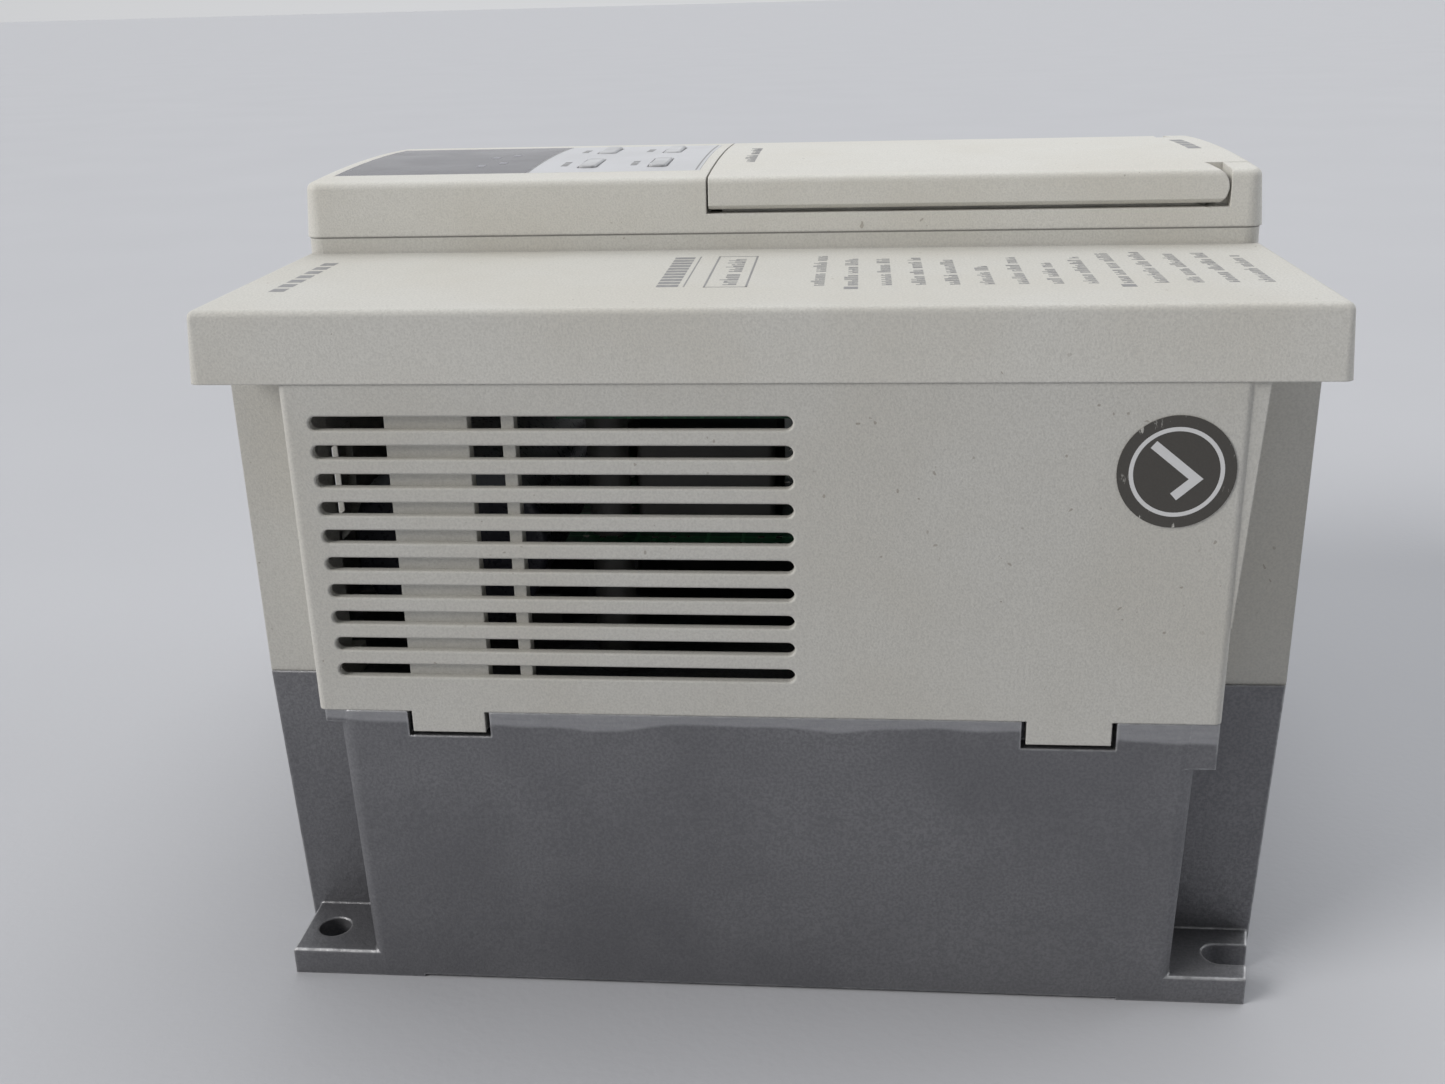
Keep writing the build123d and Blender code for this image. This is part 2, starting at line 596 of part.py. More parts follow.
with BuildPart() as panel_housing:
    add(console_form.part)
    # display compartment, open below
    block(-71.7, bay_left - 2.2, -26.2, 26.2, console_base - 1, ceiling, Mode.SUBTRACT)
    with Locations(*[(x, y, 110.3) for x in (-69.5, -14.6) for y in (-22.5, 22.5)]):
        Box(3.0, 3.0, 2 * (ceiling - 110.3))
    # window seat, label seat and key holes
    with BuildSketch(Plane.XY.offset(ceiling - 1)):
        with Locations(((window_left + window_right) / 2, 0)):
            Rectangle(window_right - window_left - 2.4, 2 * window_half_y - 2.4)
    extrude(amount=6.0, mode=Mode.SUBTRACT)
    with BuildSketch(Plane.XY.offset(ceiling - 1)):
        with Locations(*[(x, y) for x in key_xs for y in key_ys]):
            RectangleRounded(key_size[0] + 0.6, key_size[1] + 0.6, 1.0)
    extrude(amount=6.0, mode=Mode.SUBTRACT)
    # wiring bay below the flap, between an inner liner that the flap closes over
    block(bay_left, pillar_x, -liner_in, liner_in, console_base - 1, 117.0, Mode.SUBTRACT)
    mirrored_block(bay_left, pillar_x, liner_out, 30.0, ledge_z, 117.0, Mode.SUBTRACT)
    mirrored_block(bay_left, pillar_x, 20.0, 30.0, liner_top, 117.0, Mode.SUBTRACT)
    mirrored_block(bay_left, flap_left + 1.9, 20.0, 30.0, ledge_z, 117.0, Mode.SUBTRACT)
    # end wall between the two pillars, cut back for the flap's turning end
    block(pillar_x - 1, 72.2, -pillar_y, pillar_y, console_base - 1, 117.0, Mode.SUBTRACT)
    block(72.0, 76.0, -pillar_y, pillar_y, 108.5, 117.0, Mode.SUBTRACT)
    hinge_cylinder(sweep_radius, -pillar_y, pillar_y, Mode.SUBTRACT)
    for side in (-1, 1):
        hinge_cylinder(ear_radius + 0.15, min(side * liner_in, side * 30), max(side * liner_in, side * 30),
                       Mode.SUBTRACT)
        # bearing cheek for the flap's pin
        inner = 22.5 * side
        outer = 25.0 * side
        hinge_cylinder(knuckle_radius, min(inner, outer), max(inner, outer), Mode.ADD)
        block(pivot_x - knuckle_radius, pivot_x + 0.2, min(inner, outer), max(inner, outer),
              console_base, pivot_z)
        hinge_cylinder(pin_bore, min(inner, outer) - 0.5, max(inner, outer) + 0.5, Mode.SUBTRACT)
# the seats follow the arch, so they are cut as bands under it
with BuildPart() as window_seat:
    arched_strip(window_left - 0.05, window_right, window_half_y + 0.05, -2.0, 111.0, Mode.ADD)
    arched_strip(window_left - 1, window_right + 1, window_half_y + 1, window_thickness, 110.0,
                 Mode.SUBTRACT)
with BuildPart() as label_seat:
    arched_strip(window_right, label_right + 0.05, window_half_y + 0.05, -2.0, 111.0, Mode.ADD)
    arched_strip(window_right - 1, label_right + 1, window_half_y + 1, label_thickness, 110.0,
                 Mode.SUBTRACT)
with panel_housing:
    add(window_seat.part, mode=Mode.SUBTRACT)
    add(label_seat.part, mode=Mode.SUBTRACT)
panel_housing.part.label = "panel_housing"
export_step(panel_housing.part, "parts/panel_housing.step")

with BuildPart() as display_window:
    arched_strip(window_left, window_right - 0.05, window_half_y, 0.0, 111.0, Mode.ADD)
    arched_strip(window_left - 1, window_right + 1, window_half_y + 1, window_thickness, 110.0,
                 Mode.SUBTRACT)
display_window.part.label = "display_window"
export_step(display_window.part, "parts/display_window.step")

with BuildPart() as keypad_label:
    arched_strip(window_right, label_right, window_half_y, 0.0, 111.0, Mode.ADD)
    arched_strip(window_right - 1, label_right + 1, window_half_y + 1, label_thickness, 110.0,
                 Mode.SUBTRACT)
    with BuildSketch(Plane.XY.offset(ceiling)):
        with Locations(*[(x, y) for x in key_xs for y in key_ys]):
            RectangleRounded(key_size[0] + 0.6, key_size[1] + 0.6, 1.0)
    extrude(amount=5.0, mode=Mode.SUBTRACT)
keypad_label.part.label = "keypad_label"
export_step(keypad_label.part, "parts/keypad_label.step")

# ---------------------------------------------------------------- display electronics
display_board_top = display_board_z + board_thickness
with BuildPart() as display_board:
    block(-71.0, -13.0, -24.2, 24.2, display_board_z, display_board_top)
display_board.part.label = "display_board"
export_step(display_board.part, "parts/display_board.step")

with BuildPart() as led_digits:
    block(-67.0, -52.0, -17.0, 17.0, display_board_top, 112.0)
led_digits.part.label = "led_digits"
export_step(led_digits.part, "parts/led_digits.step")

with BuildPart() as status_leds:
    with Locations(*[(-46.0, y, display_board_top) for y in (-13.0, -6.0, 6.0, 13.0)]):
        Cylinder(1.25, 3.6, align=(Align.CENTER, Align.CENTER, Align.MIN))
    fillet(status_leds.faces().filter_by(Axis.Z).group_by(Axis.Z)[-1].edges(), 0.8)
status_leds.part.label = "status_leds"
export_step(status_leds.part, "parts/status_leds.step")

switch_top = 109.6
with BuildPart() as key_switches:
    for x in key_xs:
        for y in key_ys:
            block(x - 3.0, x + 3.0, y - 3.0, y + 3.0, display_board_top, switch_top)
key_switches.part.label = "key_switches"
export_step(key_switches.part, "parts/key_switches.step")

with BuildPart() as panel_lead:
    block(-21.4, -20.6, -6.0, 6.0, control_board_top, display_board_z)
panel_lead.part.label = "panel_lead"
export_step(panel_lead.part, "parts/panel_lead.step")

# ---------------------------------------------------------------- keys
key_names = {
    (0, 0): "mode_key", (0, 1): "set_key",
    (1, 0): "run_key", (1, 1): "stop_key",
}
for (column, row), name in key_names.items():
    x = key_xs[column]
    y = key_ys[row]
    key_top = arch_height(y) + key_stand
    flange_top = ceiling - gap
    plunger_bottom = switch_top + key_travel + 0.1
    with BuildPart() as key:
        with BuildSketch(Plane.XY.offset(flange_top - 0.9)):
            with Locations((x, y)):
                Rectangle(key_size[0] + 1.8, key_size[1] + 1.8)
        extrude(amount=0.9)
        with BuildSketch(Plane.XY.offset(flange_top - 0.1)):
            with Locations((x, y)):
                RectangleRounded(key_size[0], key_size[1], 0.9)
        extrude(amount=key_top - flange_top + 0.1)
        fillet(key.faces().sort_by(Axis.Z)[-1].edges(), 0.35)
        block(x - 1.5, x + 1.5, y - 1.5, y + 1.5, plunger_bottom, flange_top - 0.8)
    key.part.label = name
    export_step(key.part, f"parts/{name}.step")

# ---------------------------------------------------------------- flap
ear_end = pivot_x + ear_radius
with BuildPart() as flap_door:
    add(console_form.part)
    block(-80.0, flap_left, -30.0, 30.0, 100.0, 120.0, Mode.SUBTRACT)
    block(-80.0, 80.0, -30.0, 30.0, 100.0, flap_lip, Mode.SUBTRACT)
    mirrored_block(ear_end, 80.0, pillar_y - gap, 30.0, 100.0, 120.0, Mode.SUBTRACT)
    lip_edges = flap_door.edges().filter_by(
        lambda e: abs(e.center().Z - flap_lip) < 0.01 and abs(e.center().Y) > 27.5
    )
    chamfer(lip_edges, 0.6)
    # hollow, with a skin that follows the arch
    arched_strip(flap_left + 1.5, ear_end + 0.2, flap_inner_y, flap_skin, 100.0, Mode.SUBTRACT)
    arched_strip(ear_end, 72.0, pillar_y - gap - 1.4, flap_skin, 100.0, Mode.SUBTRACT)
    # the ears beside the pillars are rounded about the hinge
    ear_top = pivot_z + ear_radius
    ear_slant = ear_radius * math.sqrt(0.5)
    lip_z = flap_lip - lip_reach
    lip_angle = math.asin((pivot_z - lip_z) / ear_radius)
    lip_x = pivot_x + ear_radius * math.cos(lip_angle)
    half_angle = lip_angle / 2
    clear_x = 75.0
    clear_z = 118.0
    for side in (-1, 1):
        with BuildSketch(Plane.XZ.offset(-side * (pillar_y - gap))):
            with BuildLine():
                Line((pivot_x, clear_z), (pivot_x, ear_top))
                ThreePointArc(
                    (pivot_x, ear_top), (pivot_x + ear_slant, pivot_z + ear_slant), (ear_end, pivot_z)
                )
                ThreePointArc(
                    (ear_end, pivot_z),
                    (pivot_x + ear_radius * math.cos(half_angle),
                     pivot_z - ear_radius * math.sin(half_angle)),
                    (lip_x, lip_z),
                )
                Polyline((lip_x, lip_z), (clear_x, lip_z), (clear_x, clear_z), (pivot_x, clear_z))
            make_face()
        extrude(amount=-side * 12.0, mode=Mode.SUBTRACT)
    # stub pins that turn in the cheeks
    hinge_cylinder(pin_radius, 22.8, 27.2, Mode.ADD)
    hinge_cylinder(pin_radius, -27.2, -22.8, Mode.ADD)
flap_door.part.label = "flap_door"
export_step(flap_door.part, "parts/flap_door.step")

# ---------------------------------------------------------------- plates on the case
with BuildPart() as rating_plate:
    block(14.0, 58.0, case_half, case_half + 0.15, 55.0, 87.0)
    fillet(rating_plate.edges().filter_by(Axis.Y), 1.5)
rating_plate.part.label = "rating_plate"
export_step(rating_plate.part, "parts/rating_plate.step")

with BuildPart() as inspection_sticker:
    with Locations(Location((54.2, -case_half, 81.9), (90, 0, 0))):
        Cylinder(7.5, 0.15, align=(Align.CENTER, Align.CENTER, Align.MIN))
inspection_sticker.part.label = "inspection_sticker"
export_step(inspection_sticker.part, "parts/inspection_sticker.step")
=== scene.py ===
"""Looks of a small wall-mounted variable frequency drive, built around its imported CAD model.

Metres throughout, in the CAD frame: the mounting face is z = 0, the display end is -x and the
terminal end is +x.
"""
import json
import math
import random

import bpy
from mathutils import Matrix, Vector

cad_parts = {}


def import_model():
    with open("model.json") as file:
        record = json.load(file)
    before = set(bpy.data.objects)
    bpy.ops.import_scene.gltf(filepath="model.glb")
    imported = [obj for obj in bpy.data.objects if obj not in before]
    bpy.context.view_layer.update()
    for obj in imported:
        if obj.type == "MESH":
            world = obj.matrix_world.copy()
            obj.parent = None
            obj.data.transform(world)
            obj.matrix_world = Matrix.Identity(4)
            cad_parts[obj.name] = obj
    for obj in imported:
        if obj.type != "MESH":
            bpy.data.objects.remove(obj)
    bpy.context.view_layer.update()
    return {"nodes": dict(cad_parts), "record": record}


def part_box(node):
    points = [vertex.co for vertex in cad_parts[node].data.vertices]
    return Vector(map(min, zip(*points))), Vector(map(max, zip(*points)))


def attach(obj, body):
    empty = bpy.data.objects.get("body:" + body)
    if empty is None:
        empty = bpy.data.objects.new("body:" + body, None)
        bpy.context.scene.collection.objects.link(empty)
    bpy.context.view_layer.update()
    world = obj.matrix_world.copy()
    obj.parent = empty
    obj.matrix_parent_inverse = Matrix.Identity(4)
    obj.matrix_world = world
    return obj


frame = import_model()

MM = 0.001

# ---------------------------------------------------------------- places read from the frame
cover = frame["nodes"]["front_cover"]
lid_edge = 50 * MM              # past this far out across the width, the cover is flat lid only
lid_z = max(v.co.z for v in cover.data.vertices if abs(v.co.y) > lid_edge)
housing_low, housing_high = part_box("panel_housing")
label_low, label_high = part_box("keypad_label")
sink_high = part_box("heatsink")[1]
sticker_low, sticker_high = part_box("inspection_sticker")
plate_low, plate_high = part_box("rating_plate")
digits_low, digits_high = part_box("led_digits")
board_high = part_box("control_board")[1]
transformer_low, transformer_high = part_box("switching_transformer")
keys = {name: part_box(name) for name in ("mode_key", "set_key", "run_key", "stop_key")}
arch_radius = 500 * MM          # the console's top is a shallow arch across its width
crest_z = housing_high.z
ink_height = 0.02 * MM
ink_root = 0.03 * MM            # how far a printed mark reaches below the surface that it lies on


# ---------------------------------------------------------------- shader building
class Shader:
    """Node tree of one material, with short calls that add nodes and link them."""

    def __init__(self, name):
        self.material = bpy.data.materials.new(name)
        self.material.use_nodes = True
        self.tree = self.material.node_tree
        self.tree.nodes.clear()
        self.surface = self.node("ShaderNodeBsdfPrincipled")
        output = self.node("ShaderNodeOutputMaterial")
        self.tree.links.new(self.surface.outputs[0], output.inputs["Surface"])
        self.place = self.node("ShaderNodeTexCoord").outputs["Object"]
        split = self.node("ShaderNodeSeparateXYZ")
        self.feed(split.inputs[0], self.place)
        self.x, self.y, self.z = split.outputs
        self.normal = None

    def node(self, kind, **settings):
        made = self.tree.nodes.new(kind)
        for key, value in settings.items():
            setattr(made, key, value)
        return made

    def feed(self, socket, value):
        """Links an output to a socket, or sets the socket to a plain value."""
        if isinstance(value, bpy.types.NodeSocket):
            self.tree.links.new(value, socket)
        else:
            socket.default_value = value

    def math(self, operation, *values):
        made = self.node("ShaderNodeMath", operation=operation)
        for socket, value in zip(made.inputs, values):
            self.feed(socket, value)
        return made.outputs[0]

    def ramp(self, value, low, high, bottom=0.0, top=1.0):
        """Value turned smoothly from bottom to top as it goes from low to high."""
        made = self.node("ShaderNodeMapRange", interpolation_type="SMOOTHSTEP")
        for socket, given in zip(made.inputs, (value, low, high, bottom, top)):
            self.feed(socket, given)
        return made.outputs[0]

    def noise(self, size, detail=2.0, roughness=0.5, stretch=(1, 1, 1), shift=0.0):
        """Noise whose features are about size metres across, drawn out along an axis by stretch."""
        mapped = self.node("ShaderNodeMapping")
        self.feed(mapped.inputs["Vector"], self.place)
        mapped.inputs["Location"].default_value = (shift, shift, shift)
        mapped.inputs["Scale"].default_value = [1 / (size * s) for s in stretch]
        made = self.node("ShaderNodeTexNoise")
        self.feed(made.inputs["Vector"], mapped.outputs[0])
        made.inputs["Scale"].default_value = 1.0
        made.inputs["Detail"].default_value = detail
        made.inputs["Roughness"].default_value = roughness
        return made.outputs[0]

    def blend(self, share, first, second):
        """Colour that goes from first to second with share."""
        made = self.node("ShaderNodeMix", data_type="RGBA")
        for socket, value in zip((made.inputs[0], made.inputs[6], made.inputs[7]), (share, first, second)):
            self.feed(socket, (*value, 1) if isinstance(value, tuple) else value)
        return made.outputs[2]

    def bump(self, height, depth):
        """Adds relief of the given depth in metres on top of what is there."""
        made = self.node("ShaderNodeBump")
        self.feed(made.inputs["Height"], height)
        self.feed(made.inputs["Distance"], depth)
        if self.normal is not None:
            self.feed(made.inputs["Normal"], self.normal)
        self.normal = made.outputs[0]

    def rounded(self, radius):
        """Rounds the edges in shading and gives a mask that is 1 on outer and inner edges."""
        soft = self.node("ShaderNodeBevel", samples=4)
        soft.inputs["Radius"].default_value = radius
        self.normal = soft.outputs[0]
        flat = self.node("ShaderNodeNewGeometry").outputs["Normal"]
        across = self.node("ShaderNodeVectorMath", operation="DOT_PRODUCT")
        self.feed(across.inputs[0], soft.outputs[0])
        self.feed(across.inputs[1], flat)
        return self.ramp(across.outputs["Value"], 0.995, 0.9)

    def occlusion_dust_and_shade(self, reach):
        """Ambient-occlusion mask of the corners: dust that settles there, and the painted shade that falls
        there.
        """
        made = self.node("ShaderNodeAmbientOcclusion", samples=4)
        made.inputs["Distance"].default_value = reach
        return self.ramp(made.outputs["AO"], 0.75, 0.25)

    def finish(self, colour, roughness, metallic=0.0, constants=None):
        """Sets the surface. Constants go straight to the shader's own sockets."""
        self.feed(self.surface.inputs["Base Color"], (*colour, 1) if isinstance(colour, tuple) else colour)
        self.feed(self.surface.inputs["Roughness"], roughness)
        self.feed(self.surface.inputs["Metallic"], metallic)
        if self.normal is not None:
            self.feed(self.surface.inputs["Normal"], self.normal)
        for name, value in (constants or {}).items():
            self.surface.inputs[name].default_value = value
        return self.material


def shade(colour, factor):
    return tuple(channel * factor for channel in colour)


# ---------------------------------------------------------------- materials
def moulded(name, colour, aged, grain=0.32 * MM, seam=None):
    """Ivory moulding: spark-eroded texture, uneven ageing, dust and painted shade in corners, edges painted
    lighter (partly rubbed, partly painted highlight), specks and scuffs.

    A seam is the height of a joint with the part above, just below which a thin dark line is painted.
    """
    s = Shader(name)
    edge = s.rounded(0.28 * MM)
    fine = s.noise(grain, detail=2.5, roughness=0.6)
    broad = s.noise(26 * MM, detail=3.0)
    cloud = s.noise(7 * MM, detail=4.0, roughness=0.6, shift=3.0)
    body = s.blend(s.ramp(broad, 0.35, 0.7), colour, aged)
    body = s.blend(s.ramp(cloud, 0.45, 0.8, 0.0, 0.14), body, shade(aged, 0.9))
    body = s.blend(s.ramp(fine, 0.32, 0.72, 0.0, 0.5), body, shade(colour, 0.74))
    speck = s.noise(0.8 * MM, detail=0.0, shift=7.0)
    sparse = s.noise(9 * MM, detail=1.0, shift=11.0)
    speckled = s.math("MULTIPLY", s.ramp(speck, 0.82, 0.84), s.ramp(sparse, 0.57, 0.63))
    body = s.blend(s.math("MULTIPLY", speckled, 0.45), body, (0.18, 0.14, 0.10))
    scuff = s.noise(1.6 * MM, detail=3.0, stretch=(7, 7, 0.35), shift=5.0)
    worn = s.math("MULTIPLY", s.ramp(scuff, 0.7, 0.8), s.ramp(cloud, 0.55, 0.65))
    body = s.blend(s.math("MULTIPLY", worn, 0.2), body, shade(aged, 0.62))
    # Painted shade: corners darkened by ambient occlusion, partly dust and partly the shade that falls there.
    corner_dust_and_shade = s.math("MULTIPLY", s.occlusion_dust_and_shade(2.0 * MM), s.ramp(cloud, 0.25, 0.7, 0.15, 0.5))
    body = s.blend(corner_dust_and_shade, body, shade(aged, 0.5))
    # Painted highlight: edges painted lighter, partly for rubbing and partly for light catching them.
    body = s.blend(s.math("MULTIPLY", edge, 0.4), body, shade(colour, 1.15))
    if seam is not None:
        # Thin dark line painted just below the seam.
        seam_dark_line = s.ramp(s.z, seam - 0.22 * MM, seam - 0.10 * MM, 0.0, 0.85)
        body = s.blend(seam_dark_line, body, shade(aged, 0.22))
    rough = s.ramp(fine, 0.2, 0.8, 0.46, 0.6)
    rough = s.math("SUBTRACT", rough, s.math("MULTIPLY", edge, 0.1))
    s.bump(fine, 0.05 * MM)
    s.bump(broad, 0.05 * MM)
    return s.finish(body, rough, constants={"Specular IOR Level": 0.4})


def cast_aluminium(name):
    """Grey die casting: grained skin, a ground band along the top of its outer sides, edges and upward
    fillets painted bright, partly rubbed metal and partly painted highlight.
    """
    s = Shader(name)
    edge = s.rounded(0.5 * MM)
    fine = s.noise(0.45 * MM, detail=3.0, roughness=0.65)
    pit = s.noise(1.6 * MM, detail=2.0, shift=2.0)
    broad = s.noise(30 * MM, detail=4.0, roughness=0.55)
    skin = s.blend(s.ramp(broad, 0.3, 0.72), (0.187, 0.187, 0.197), (0.243, 0.243, 0.253))
    skin = s.blend(s.ramp(fine, 0.35, 0.72, 0.0, 0.6), skin, (0.145, 0.147, 0.160))
    skin = s.blend(s.ramp(fine, 0.62, 0.8, 0.0, 0.45), skin, (0.44, 0.44, 0.45))
    deepest, shallowest, skin_depth = 3.4 * MM, 1.3 * MM, 1.6 * MM
    wander = s.noise(30 * MM, detail=2.0, shift=9.0)
    line = s.ramp(wander, 0.3, 0.7, sink_high.z - deepest, sink_high.z - shallowest)
    above = s.ramp(s.math("SUBTRACT", s.z, line), -0.2 * MM, 0.5 * MM)
    outer = s.math("GREATER_THAN", s.math("ABSOLUTE", s.y), sink_high.y - skin_depth)
    band = s.math("MULTIPLY", above, outer)
    streak = s.noise(0.5 * MM, detail=3.0, stretch=(9, 9, 1), shift=4.0)
    ground = s.blend(streak, (0.34, 0.34, 0.35), (0.5, 0.5, 0.51))
    skin = s.blend(s.math("MULTIPLY", band, 0.6), skin, ground)
    nick = s.noise(2.2 * MM, detail=2.0, shift=6.0)
    facing = s.node("ShaderNodeSeparateXYZ")
    s.feed(facing.inputs[0], s.node("ShaderNodeNewGeometry").outputs["Normal"])
    upward = facing.outputs[2]
    # Painted highlight: faces turning from the sides to the top, the fillets, painted bright where light from
    # above catches them.
    fillet_highlight = s.math("MULTIPLY", s.ramp(upward, 0.2, 0.55), s.ramp(upward, 0.98, 0.9))
    bright = s.math("MULTIPLY", s.math("MAXIMUM", edge, fillet_highlight), s.ramp(nick, 0.35, 0.6, 0.45, 1.0))
    # Edges and fillets painted bright: partly rubbed metal, partly painted highlight.
    skin = s.blend(s.math("MULTIPLY", bright, 0.8), skin, (0.66, 0.66, 0.67))
    rough = s.ramp(fine, 0.2, 0.8, 0.48, 0.66)
    rough = s.math("SUBTRACT", rough, s.math("MULTIPLY", s.math("MAXIMUM", band, bright), 0.14))
    s.bump(fine, 0.07 * MM)
    s.bump(pit, 0.10 * MM)
    return s.finish(skin, rough, metallic=0.82)


def fine_moulding(name, colour, gloss=0.5, grain=0.25 * MM):
    """Small technical moulding in one colour, with a fine texture and edges painted lighter, partly rubbed
    and partly painted highlight.
    """
    s = Shader(name)
    edge = s.rounded(0.15 * MM)
    fine = s.noise(grain, detail=2.0)
    broad = s.noise(6 * MM, detail=3.0, shift=2.0)
    body = s.blend(s.ramp(broad, 0.3, 0.7), colour, shade(colour, 0.78))
    # Painted highlight: edges painted lighter.
    body = s.blend(s.math("MULTIPLY", edge, 0.3), body, shade(colour, 1.6))
    s.bump(fine, 0.02 * MM)
    return s.finish(body, s.ramp(fine, 0.2, 0.8, gloss - 0.06, gloss + 0.08))


def turned_metal(name, colour, shine=0.3):
    """Plated or turned metal with fine streaks and duller patches."""
    s = Shader(name)
    edge = s.rounded(0.12 * MM)
    streak = s.noise(0.3 * MM, detail=3.0, stretch=(6, 6, 1))
    broad = s.noise(3 * MM, detail=3.0, shift=5.0)
    body = s.blend(streak, colour, shade(colour, 0.72))
    body = s.blend(s.ramp(broad, 0.5, 0.8, 0.0, 0.5), body, shade(colour, 0.5))
    # Painted highlight: edges painted lighter.
    body = s.blend(s.math("MULTIPLY", edge, 0.5), body, shade(colour, 1.25))
    s.bump(streak, 0.015 * MM)
    return s.finish(body, s.ramp(broad, 0.3, 0.7, shine, shine + 0.2), metallic=1.0)


def smoked_window(name):
    """Grey-smoked window with a fine matt coat, so that it mirrors the room softly."""
    s = Shader(name)
    fine = s.noise(0.2 * MM, detail=2.0)
    film = s.noise(14 * MM, detail=3.0)
    body = s.blend(s.ramp(film, 0.3, 0.75), (0.15, 0.148, 0.170), (0.185, 0.183, 0.202))
    s.bump(fine, 0.006 * MM)
    rough = s.ramp(film, 0.3, 0.7, 0.2, 0.27)
    return s.finish(body, rough, constants={"Transmission Weight": 0.35, "IOR": 1.5})


def label_film(name):
    """Cool white printed film with a faint emboss."""
    s = Shader(name)
    fine = s.noise(0.22 * MM, detail=2.0)
    film = s.noise(12 * MM, detail=3.0)
    body = s.blend(s.ramp(film, 0.3, 0.75), (0.60, 0.605, 0.63), (0.56, 0.565, 0.585))
    s.bump(fine, 0.01 * MM)
    return s.finish(body, s.ramp(fine, 0.2, 0.8, 0.3, 0.42), constants={"Specular IOR Level": 0.55})


def circuit_board(name):
    """Green resist over copper: straight tracks in both directions, and pads where they meet."""
    s = Shader(name)
    hole_pitch = 2.54 * MM
    track_outer, track_inner = 0.32 * MM, 0.22 * MM
    pad_outer, pad_inner = 0.5 * MM, 0.42 * MM
    cell_x = s.math("PINGPONG", s.x, hole_pitch / 2)
    cell_y = s.math("PINGPONG", s.y, hole_pitch / 2)
    track_x = s.ramp(cell_x, track_outer, track_inner)
    track_y = s.ramp(cell_y, track_outer, track_inner)
    where_x = s.ramp(s.noise(5 * MM, detail=1.0, stretch=(0.5, 5, 1)), 0.5, 0.54)
    where_y = s.ramp(s.noise(5 * MM, detail=1.0, stretch=(5, 0.5, 1), shift=4.0), 0.5, 0.54)
    tracks = s.math("MAXIMUM", s.math("MULTIPLY", track_x, where_x), s.math("MULTIPLY", track_y, where_y))
    pads = s.math("MULTIPLY", s.ramp(cell_x, pad_outer, pad_inner), s.ramp(cell_y, pad_outer, pad_inner))
    chosen = s.ramp(s.noise(3 * MM, detail=0.0, shift=8.0), 0.56, 0.6)
    pads = s.math("MULTIPLY", pads, chosen)
    body = s.blend(tracks, (0.018, 0.11, 0.05), (0.04, 0.2, 0.085))
    body = s.blend(pads, body, (0.6, 0.58, 0.5))
    s.bump(s.math("MAXIMUM", tracks, pads), 0.04 * MM)
    return s.finish(body, s.ramp(pads, 0.0, 1.0, 0.32, 0.25), metallic=pads)


def capacitor_sleeve(name):
    """Dark shrink sleeve, paler above a line round the cans."""
    s = Shader(name)
    fine = s.noise(0.8 * MM, detail=2.0)
    line = sink_high.z + 24 * MM
    above = s.ramp(s.z, line, line + 1 * MM)
    body = s.blend(s.math("MULTIPLY", above, 0.6), (0.06, 0.06, 0.075), (0.3, 0.31, 0.33))
    s.bump(fine, 0.02 * MM)
    return s.finish(body, s.ramp(fine, 0.2, 0.8, 0.25, 0.35))


def ribbon(name):
    """Flat cable: parallel round cores side by side across y."""
    s = Shader(name)
    core_radius = 0.635 * MM
    cores = s.math("PINGPONG", s.y, core_radius)
    # Painted shade and highlight: darker in the grooves between the cores, lighter on their crowns.
    body = s.blend(s.ramp(cores, 0.0, 0.3 * MM), (0.26, 0.265, 0.28), (0.43, 0.44, 0.46))
    s.bump(s.math("DIVIDE", cores, core_radius), 0.2 * MM)
    return s.finish(body, 0.5)


def ferrite(name):
    """Dark ferrite halves around a taped winding."""
    s = Shader(name)
    above = s.ramp(s.z, transformer_low.z + 2.3 * MM, transformer_low.z + 2.5 * MM)
    below = s.ramp(s.z, transformer_high.z - 2.9 * MM, transformer_high.z - 3.1 * MM)
    taped = s.math("MULTIPLY", above, below)
    fine = s.noise(0.6 * MM, detail=3.0)
    body = s.blend(taped, (0.05, 0.048, 0.048), (0.62, 0.43, 0.05))
    body = s.blend(s.ramp(fine, 0.4, 0.8, 0.0, 0.3), body, (0.02, 0.02, 0.02))
    s.bump(fine, 0.04 * MM)
    return s.finish(body, 0.55)


def tinted_lens(name, colour):
    """Clear tinted lens, a little uneven inside."""
    s = Shader(name)
    cloudy = s.noise(1.2 * MM, detail=2.0)
    body = s.blend(cloudy, colour, shade(colour, 0.6))
    s.bump(cloudy, 0.01 * MM)
    rough = s.ramp(cloudy, 0.3, 0.7, 0.12, 0.2)
    return s.finish(body, rough, constants={"Transmission Weight": 0.3, "IOR": 1.5})


def brushed_plate(name):
    """Thin silver plate brushed along its length."""
    s = Shader(name)
    streak = s.noise(0.25 * MM, detail=3.0, stretch=(30, 1, 1))
    broad = s.noise(12 * MM, detail=2.0)
    body = s.blend(streak, (0.60, 0.60, 0.61), (0.48, 0.48, 0.49))
    body = s.blend(s.ramp(broad, 0.5, 0.8, 0.0, 0.3), body, (0.42, 0.42, 0.41))
    s.bump(streak, 0.008 * MM)
    return s.finish(body, s.ramp(streak, 0.2, 0.8, 0.32, 0.45), metallic=0.9)


